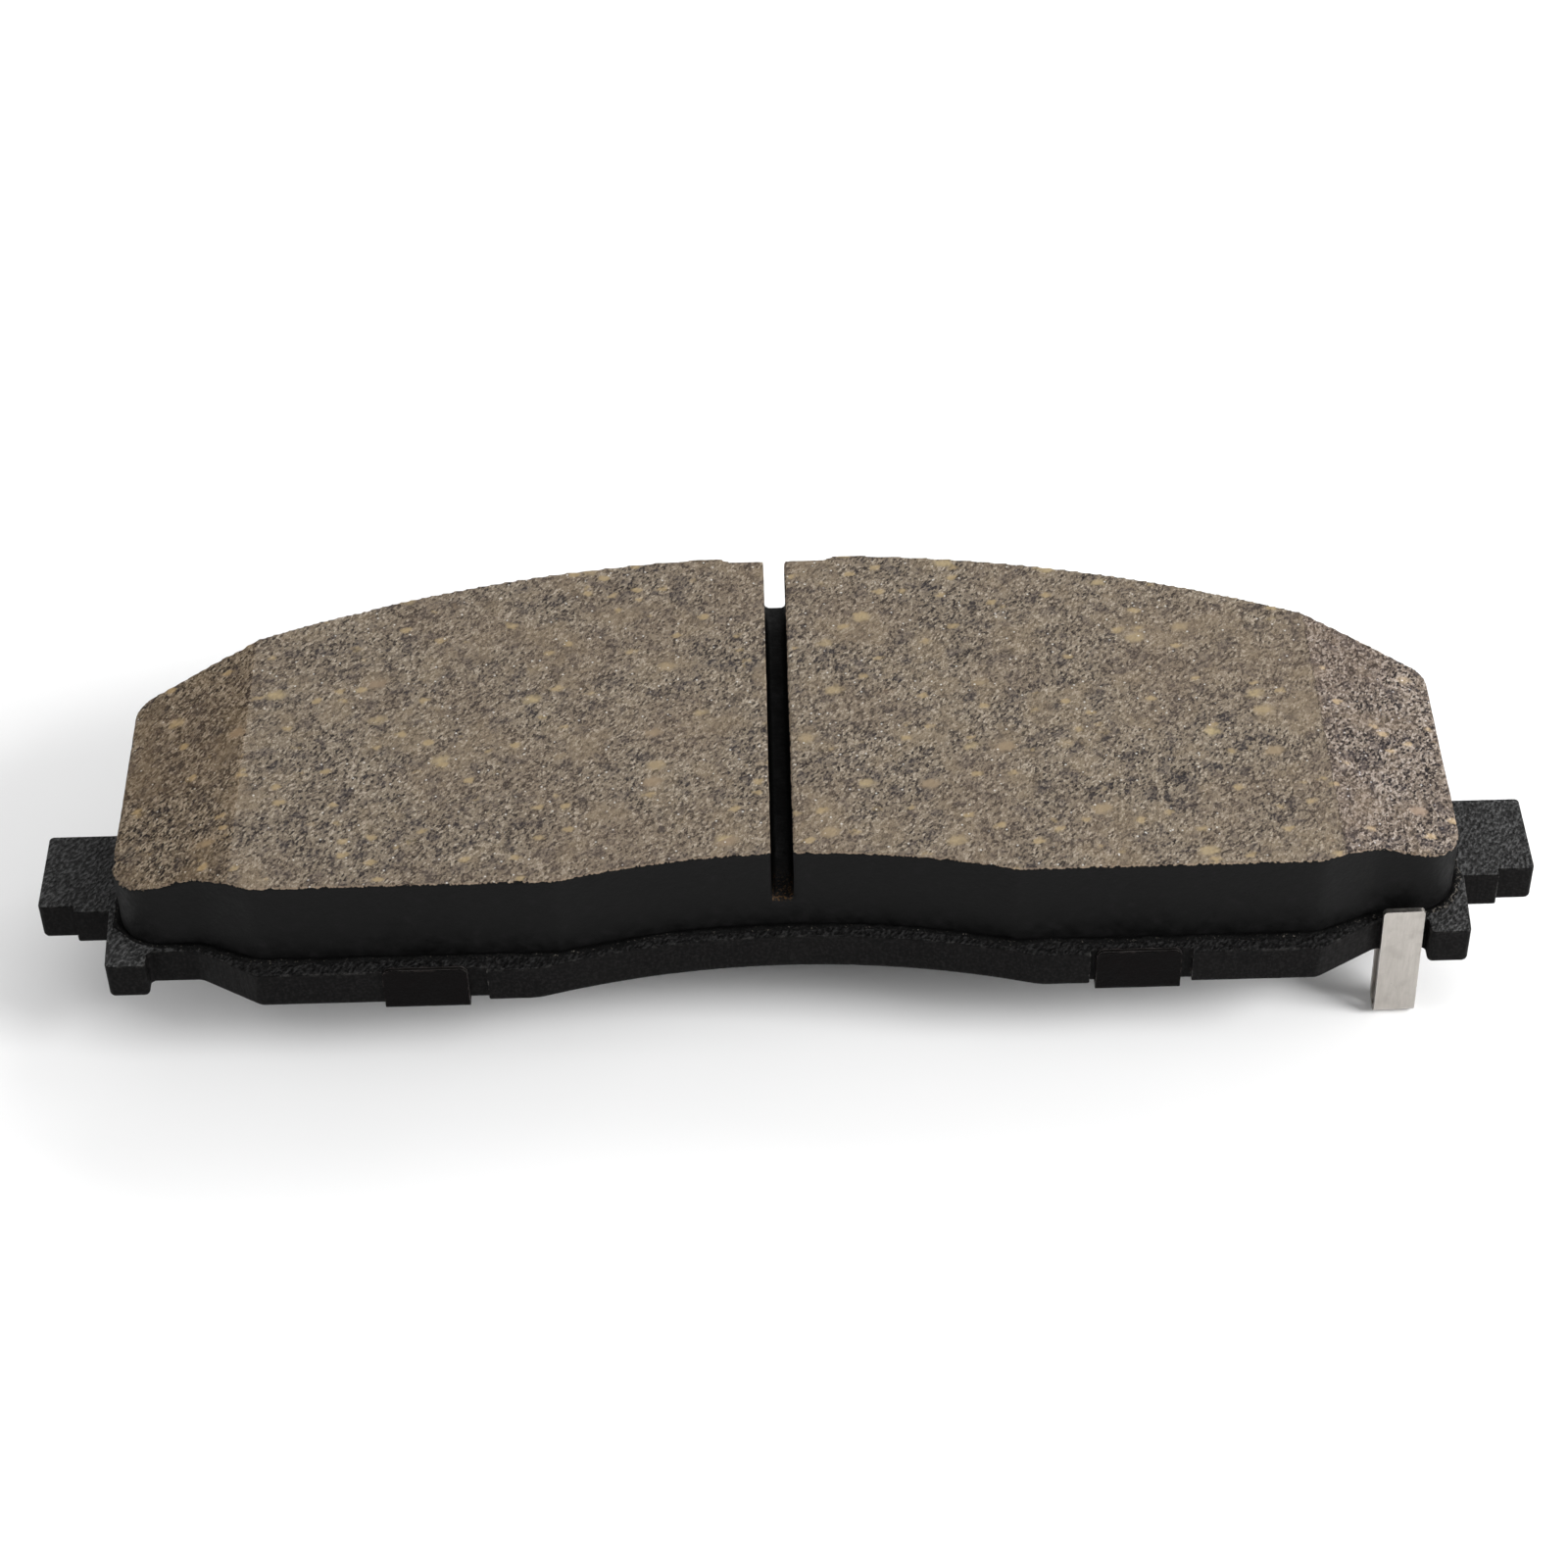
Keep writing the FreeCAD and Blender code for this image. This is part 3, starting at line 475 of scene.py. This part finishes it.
def compound_colour(recipe, raw):
    """The colour of the friction compound's mixed grains, their relief, and a mask of its bright flecks.
    raw is 1 where the compound is cut rather than ground: there its grains stand out more."""
    lie = recipe.stretch((1.45, 0.85, 1.0), turn=58)
    _, pick, _ = recipe.cells(0.33, lie)
    soft = recipe.noise(0.29, 2.0, 0.6, lie)
    fine = recipe.noise(0.15, 1.0, 0.5)
    cluster = recipe.span(recipe.noise(2.3, 3.0, 0.6), 0.48, 0.66)
    broad = recipe.noise(14.0, 2.0)
    patch = recipe.noise(5.5, 3.0, 0.55)
    grade = recipe.math("ADD", recipe.math("MULTIPLY", pick, 0.45), recipe.math("MULTIPLY", soft, 0.75))
    contrast = recipe.blend(raw, 1.15, 1.70)
    grade = recipe.math("ADD", grade, recipe.math("MULTIPLY", fine, 0.30))
    grade = recipe.math("MULTIPLY_ADD", recipe.math("SUBTRACT", grade, 0.75), contrast, 0.62)
    grade = recipe.math("SUBTRACT", grade, recipe.math("MULTIPLY", cluster, 0.12))
    grade = recipe.math("MULTIPLY_ADD", recipe.math("SUBTRACT", patch, 0.5), 0.26, grade)
    grains = recipe.ramp(grade, [
        (0.22, tone(28, 25, 25)),
        (0.38, tone(60, 54, 50)),
        (0.50, tone(98, 88, 78)),
        (0.62, tone(116, 105, 91)),
        (0.80, tone(132, 121, 106)),
        (0.96, tone(168, 158, 144)),
    ])
    grains = recipe.mix(recipe.span(cluster, 0, 1, 0, 0.30), grains, tone(78, 73, 74))
    grains = recipe.mix(recipe.span(broad, 0.35, 0.65, 0, 0.22), grains, tone(118, 101, 84))
    grains = recipe.mix(recipe.span(patch, 0.50, 0.66, 0, 0.35), grains, tone(126, 111, 90))
    large, large_shade = chips(recipe, 5.0, 1.40, 0.48)
    small, _ = chips(recipe, 2.7, 0.80, 0.38)
    chip_tone = recipe.mix(large_shade, tone(166, 150, 114), tone(130, 113, 95))
    chip_tone = recipe.mix(recipe.span(soft, 0.35, 0.65, 0, 0.45), chip_tone, tone(118, 104, 84))
    grains = recipe.mix(recipe.math("MULTIPLY", small, 0.75), grains, tone(152, 134, 102))
    grains = recipe.mix(recipe.math("MULTIPLY", large, 0.85), grains, chip_tone)
    fleck_gap, fleck_pick, _ = recipe.cells(1.10)
    fleck = recipe.math("MULTIPLY", recipe.span(fleck_gap, 0.17, 0.08),
                        recipe.math("LESS_THAN", fleck_pick, 0.45))
    grains = recipe.mix(recipe.math("MULTIPLY", fleck, 0.8), grains, tone(206, 203, 197))
    height = recipe.math("ADD", recipe.math("MULTIPLY", soft, 0.7), recipe.math("MULTIPLY", fine, 0.5))
    height = recipe.blend(recipe.math("MAXIMUM", small, large), height, 0.55)
    return grains, height, fleck


def black_paint(recipe, darkest, middle, lightest):
    """Sprayed black paint, faintly mottled: its colour, its roughness and its relief."""
    mottle = recipe.noise(1.6, 4.0, 0.6)
    colour = recipe.ramp(mottle, [(0.3, tone(*darkest)), (0.55, tone(*middle)), (0.75, tone(*lightest))])
    return colour, recipe.span(mottle, 0.3, 0.7, 0.5, 0.68), recipe.noise(0.8, 3.0, 0.55)


def friction_material():
    """Ground compound on top, with the cut end chamfers left raw. Black paint on the walls and in the
    slot, worn off along the rim, whose bare compound is lightened partly as a painted highlight. The right
    chamfer is lightened as painted light."""
    recipe = Recipe("friction_compound")
    ground_line = recipe.math("MULTIPLY_ADD", recipe.noise(0.6, 2.0), 0.8, recipe.x)
    left_end = recipe.span(ground_line, -66.2, -66.5)
    right_end = recipe.span(ground_line, 67.1, 67.4)
    raw = recipe.math("MAXIMUM", left_end, right_end)
    grains, height, fleck = compound_colour(recipe, raw)
    grains = recipe.mix(left_end, grains, (1.0, 0.93, 0.84, 1), blend="MULTIPLY")
    # Painted light: the right chamfer is lightened as if lit by the key from the right, and tinted slightly
    # cool.
    grains = recipe.mix(right_end, grains, (1.18, 1.16, 1.24, 1), blend="MULTIPLY")

    depth = depth_of(recipe)
    ragged = recipe.noise(0.55, 2.0, 0.7)
    paint_line = recipe.span(ragged, 0.3, 0.7, 0.08, 0.34)
    painted = recipe.span(recipe.math("SUBTRACT", depth, paint_line), -0.04, 0.04)
    rim_free = recipe.math("SUBTRACT", 1.0, painted)
    # The bare compound along the rim, just below the face, is lightened: partly its own fresh colour, partly
    # a painted highlight where the edge catches light.
    rim = recipe.math("MULTIPLY", recipe.span(depth, 0.03, 0.16), rim_free)
    grains = recipe.mix(recipe.math("MULTIPLY", rim, 0.5), grains, tone(150, 131, 112))

    paint, paint_roughness, paint_height = black_paint(recipe, *PAINT_TONES)
    rust_spots = recipe.span(recipe.noise(0.3, 3.0, 0.7), 0.50, 0.64)
    off_centre = recipe.math("ABSOLUTE", recipe.math("SUBTRACT", recipe.x, SLOT_CENTRE / MM))
    in_slot = recipe.math("LESS_THAN", off_centre, SLOT_WIDTH / MM * 0.47)
    floor_level = (FACE_HEIGHT - SLOT_DEPTH) / MM
    at_floor = recipe.math("MULTIPLY", recipe.span(recipe.z, floor_level + 0.9, floor_level + 0.1),
                           recipe.span(recipe.z, floor_level - 0.35, floor_level - 0.05))
    at_mouth = recipe.span(recipe.y, -19.0, -25.0)
    rusty = recipe.math("MULTIPLY", recipe.math("MULTIPLY", in_slot, at_floor),
                        recipe.math("MULTIPLY", at_mouth, rust_spots))
    paint = recipe.mix(recipe.math("MULTIPLY", rusty, 0.85), paint, tone(86, 64, 40))

    colour = recipe.mix(painted, grains, paint)
    roughness = recipe.blend(painted, recipe.blend(fleck, 0.72, 0.35), paint_roughness)
    relief = recipe.bump(recipe.blend(painted, height, 0.5), 0.26)
    raw_height = recipe.math("MULTIPLY", recipe.math("MULTIPLY", height, raw), rim_free)
    relief = recipe.bump(raw_height, 0.22, under=relief)
    relief = recipe.bump(recipe.math("MULTIPLY", paint_height, painted), 0.10, under=relief)
    recipe.set(base_color=colour, roughness=roughness, normal=relief, specular_ior_level=PAINT_SHINE)
    return recipe.material


def underlayer_material():
    """The painted side of the underlayer, as the walls above it."""
    recipe = Recipe("underlayer_compound")
    paint, roughness, height = black_paint(recipe, *PAINT_TONES)
    relief = recipe.bump(height, 0.10)
    recipe.set(base_color=paint, roughness=roughness, normal=relief, specular_ior_level=PAINT_SHINE)
    return recipe.material


def flash_material():
    """Near-black painted shadow in the groove at the wall's foot, then crumbly, with bare grains showing most
    at the right-hand end.
    """
    recipe = Recipe("bond_line_flash")
    outness = recipe.add("ShaderNodeAttribute", attribute_name="outness").outputs["Fac"]
    crumbly = recipe.span(outness, 0.35, 0.65)
    grit = recipe.noise(0.25, 3.0, 0.75)
    bare_level = recipe.span(recipe.x, 66.0, 78.0, 0.64, 0.54)
    bare = recipe.span(recipe.math("SUBTRACT", recipe.noise(0.35, 2.0, 0.7), bare_level), 0.0, 0.06)
    paint = recipe.ramp(grit, [(0.3, tone(5, 5, 5)), (0.55, tone(14, 14, 14)), (0.75, tone(40, 39, 38))])
    # Painted shadow: where crumbly is 0, next to the wall, the flash is made near-black as the groove's
    # shade.
    paint = recipe.mix(crumbly, tone(3, 3, 3), paint)
    colour = recipe.mix(recipe.math("MULTIPLY", bare, crumbly), paint, tone(92, 88, 82))
    relief = recipe.bump(grit, 0.30)
    recipe.set(base_color=colour, roughness=0.62, normal=relief, specular_ior_level=0.06)
    return recipe.material


def plate_material():
    """Black coated steel: leathery on the flats, drawn on the cut edges, worn bright along the corners.
    The flats get a lighter copy of the coating as painted sheen, the sides a darker copy as painted shade,
    and the flats beside the block lean to the painted shade.
    """
    recipe = Recipe("plate_coating")
    # Painted light: the flats away from the block get a lit copy of the coating, the sides and the flats
    # beside the block a shaded copy.
    flat = recipe.span(recipe.math("ABSOLUTE", recipe.facing()), 0.6, 0.95)
    clear_of_painted_shade = recipe.span(recipe.math("ABSOLUTE", recipe.x), 71.0, 80.0, 0.25, 1.0)
    on_back = recipe.math("LESS_THAN", recipe.facing(), 0.0)
    painted_lit_flats = recipe.math("MULTIPLY", flat, recipe.math("MAXIMUM", clear_of_painted_shade, on_back))
    lie = recipe.stretch((1.5, 0.9, 1.0), turn=58)
    leather = recipe.noise(0.42, 3.0, 0.6, lie)
    pebble = recipe.noise(0.30, 2.0, 0.5)
    streak = recipe.noise(0.35, 3.0, 0.6, place=recipe.stretch((1.0, 1.0, 7.0)))
    broad = recipe.noise(9.0, 3.0)
    # The lit copy for the flats (painted sheen) and the shaded copy for the sides (painted shade).
    top = recipe.ramp(leather, [(0.36, tone(13, 13, 13)), (0.5, tone(44, 44, 44)), (0.62, tone(86, 86, 86))])
    side = recipe.ramp(leather, [(0.38, tone(6, 6, 6)), (0.5, tone(11, 10, 10)), (0.64, tone(22, 21, 21))])
    base = recipe.mix(painted_lit_flats, side, top)
    base = recipe.mix(recipe.span(broad, 0.4, 0.7, 0, 0.2), base, tone(20, 19, 18))
    scuff = recipe.math("MULTIPLY", recipe.edge(0.30), recipe.span(recipe.noise(1.3, 4.0, 0.7), 0.50, 0.62))
    colour = recipe.mix(recipe.math("MULTIPLY", scuff, 0.6), base, tone(104, 102, 100))
    lumps = recipe.math("ADD", recipe.math("MULTIPLY", leather, 0.7), recipe.math("MULTIPLY", pebble, 0.3))
    relief = recipe.bump(recipe.math("MULTIPLY", lumps, flat), 1.2)
    cut = recipe.math("MULTIPLY", streak, recipe.math("SUBTRACT", 1.0, flat))
    relief = recipe.bump(cut, 0.05, under=relief)
    drawn = recipe.span(streak, 0.3, 0.7, 0.48, 0.60)
    roughness = recipe.blend(flat, drawn, recipe.span(leather, 0.3, 0.7, 0.34, 0.48))
    shine = recipe.blend(painted_lit_flats, 0.05, 0.16)
    recipe.set(base_color=colour, roughness=roughness, normal=relief, specular_ior_level=shine)
    return recipe.material


def rubber_material(name):
    """Rubber on the shim: brown-black, finely pebbled, a little worn along its edges."""
    recipe = Recipe(name)
    fine = recipe.noise(0.32, 3.0, 0.6)
    cloud = recipe.noise(3.5, 3.0, 0.6)
    base = recipe.ramp(cloud, [(0.3, tone(6, 5, 5)), (0.6, tone(10, 8, 8)), (0.8, tone(18, 15, 15))])
    worn = recipe.math("MULTIPLY", recipe.edge(0.22), recipe.span(recipe.noise(0.9, 3.0, 0.7), 0.48, 0.6))
    colour = recipe.mix(recipe.math("MULTIPLY", worn, 0.4), base, tone(84, 76, 74))
    relief = recipe.bump(fine, 0.09)
    relief = recipe.bump(cloud, 0.15, under=relief)
    roughness = recipe.span(cloud, 0.3, 0.7, 0.52, 0.70)
    recipe.set(base_color=colour, roughness=roughness, normal=relief, specular_ior_level=0.04)
    return recipe.material


def sheet_steel_material(name, colour, along, streak_size, roughness):
    """Rolled steel: fine lines along the rolling direction, faint smudges and pits, with a painted highlight
    along its edges.
    """
    recipe = Recipe(name)
    lines = recipe.noise(streak_size, 4.0, 0.65, place=recipe.stretch(along))
    smudge = recipe.noise(2.2, 3.0, 0.6)
    pits = recipe.span(recipe.noise(0.5, 2.0, 0.6), 0.72, 0.78)
    light = tone(*(level + 8 for level in colour))
    dark = tone(*(level - 8 for level in colour))
    base = recipe.ramp(lines, [(0.3, dark), (0.5, tone(*colour)), (0.72, light)])
    base = recipe.mix(recipe.span(smudge, 0.45, 0.75, 0, 0.30), base, tone(*(level - 24 for level in colour)))
    # Painted highlight: the edges are lightened toward near-white.
    base = recipe.mix(recipe.math("MULTIPLY", recipe.edge(0.12), 0.5), base, tone(222, 220, 216))
    base = recipe.mix(recipe.math("MULTIPLY", pits, 0.5), base, tone(104, 98, 92))
    relief = recipe.bump(lines, 0.02)
    relief = recipe.bump(smudge, 0.05, under=relief)
    spread = recipe.math("ADD", recipe.span(lines, 0.3, 0.7, -0.05, 0.05), roughness)
    spread = recipe.math("ADD", spread, recipe.span(smudge, 0.4, 0.7, 0, 0.12))
    recipe.set(base_color=base, metallic=1.0, roughness=spread, normal=relief)
    return recipe.material


def glue_material(name, colour):
    """A thin, slightly cloudy film of glue."""
    recipe = Recipe(name)
    cloud = recipe.noise(1.4, 3.0, 0.6)
    dark = tone(*(level * 0.6 for level in colour))
    base = recipe.ramp(cloud, [(0.3, dark), (0.7, tone(*colour))])
    relief = recipe.bump(recipe.noise(0.4, 2.0), 0.05)
    recipe.set(base_color=base, roughness=recipe.span(cloud, 0.3, 0.7, 0.35, 0.5), normal=relief)
    return recipe.material


def floor_material():
    """Matte white paper with the faintest unevenness."""
    recipe = Recipe("studio_floor")
    cloud = recipe.noise(60.0, 2.0)
    base = recipe.ramp(cloud, [(0.3, tone(243, 243, 243)), (0.7, tone(246, 246, 246))])
    recipe.set(base_color=base, roughness=0.9, specular_ior_level=0.1)
    return recipe.material


def dress(piece, material):
    piece.data.materials.clear()
    piece.data.materials.append(material)


# ---------------------------------------------------------------- studio

def make_floor():
    """A wide pale floor, level with the lowest point of the pad."""
    half = 3.0
    mesh = bpy.data.meshes.new("floor")
    corners = [(-half, -half), (half, -half), (half, half), (-half, half)]
    mesh.from_pydata([(x, y, STRIP_LOW.z) for x, y in corners], [], [(0, 1, 2, 3)])
    floor = bpy.data.objects.new("floor", mesh)
    bpy.context.scene.collection.objects.link(floor)
    dress(floor, floor_material())


def make_softbox(name, place, target, size, power):
    """A rectangular area light at place, turned to target."""
    data = bpy.data.lights.new(name, "AREA")
    data.shape = "RECTANGLE"
    data.size, data.size_y = size
    data.energy = power
    lamp = bpy.data.objects.new(name, data)
    bpy.context.scene.collection.objects.link(lamp)
    lamp.location = place
    lamp.rotation_mode = "QUATERNION"
    lamp.rotation_quaternion = (Vector(target) - Vector(place)).to_track_quat("-Z", "Y")


def make_world(strength):
    world = bpy.data.worlds.new("studio")
    world.use_nodes = True
    background = world.node_tree.nodes["Background"]
    background.inputs["Color"].default_value = (1, 1, 1, 1)
    background.inputs["Strength"].default_value = strength
    bpy.context.scene.world = world


def make_lights():
    """A large key from the right front, a weak fill from the left, and a soft light behind for sheen."""
    make_world(0.50)
    middle = (0, 0, 0.01)
    make_softbox("key", (0.60, -0.26, 0.42), middle, (0.34, 0.34), 6.2)
    make_softbox("fill", (-0.64, -0.22, 0.26), middle, (0.40, 0.30), 1.6)
    make_softbox("back", (0.36, 0.62, 0.60), middle, (0.80, 0.40), 4.4)


def make_camera():
    """The camera looks down at 44 degrees, almost square on, and leans a little."""
    elevation = math.radians(44.0)
    azimuth = math.radians(-0.26)
    roll = math.radians(1.33)
    distance = 460 * MM
    target = Vector((0.06, -0.93, 6.42)) * MM
    forward = Vector((-math.sin(azimuth) * math.cos(elevation),
                      math.cos(azimuth) * math.cos(elevation),
                      -math.sin(elevation)))
    level_right = forward.cross(Vector((0, 0, 1))).normalized()
    level_up = level_right.cross(forward)
    right = level_right * math.cos(roll) - level_up * math.sin(roll)
    up = level_up * math.cos(roll) + level_right * math.sin(roll)
    data = bpy.data.cameras.new("camera")
    data.sensor_width = 36
    data.lens = 83.25
    data.clip_start = 0.01
    camera = bpy.data.objects.new("camera", data)
    bpy.context.scene.collection.objects.link(camera)
    turn = Matrix((right, up, -forward)).transposed().to_4x4()
    camera.matrix_world = Matrix.Translation(target - forward * distance) @ turn
    bpy.context.scene.camera = camera


# ---------------------------------------------------------------- assembly

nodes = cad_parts

dress(make_friction_block(), friction_material())
dress(make_bond_line_flash(), flash_material())
dress(nodes["underlayer"], underlayer_material())
dress(nodes["backing_plate"], plate_material())
dress(nodes["bonding_adhesive"], glue_material("bonding_film", (58, 48, 40)))
dress(nodes["shim_outer_rubber"], rubber_material("shim_outer_rubber"))
dress(nodes["shim_inner_rubber"], rubber_material("shim_inner_rubber"))
dress(nodes["shim_adhesive"], glue_material("shim_glue", (44, 42, 40)))

# node, material, colour, stretch of the rolling lines along each axis, their size in mm, roughness
STEEL_PARTS = [
    ("shim_steel_core", "shim_steel", (54, 51, 50), (8.0, 1.0, 1.0), 0.30, 0.50),
    ("wear_indicator", "spring_steel", (177, 172, 166), (1.0, 1.0, 9.0), 0.30, 0.36),
    ("wear_indicator_rivet", "rivet_steel", (160, 158, 154), (1.0, 1.0, 1.0), 0.40, 0.40),
]
for node, name, colour, along, streak_size, roughness in STEEL_PARTS:
    dress(nodes[node], sheet_steel_material(name, colour, along, streak_size, roughness))

make_floor()
make_lights()
make_camera()
bpy.context.scene.view_settings.view_transform = "Standard"
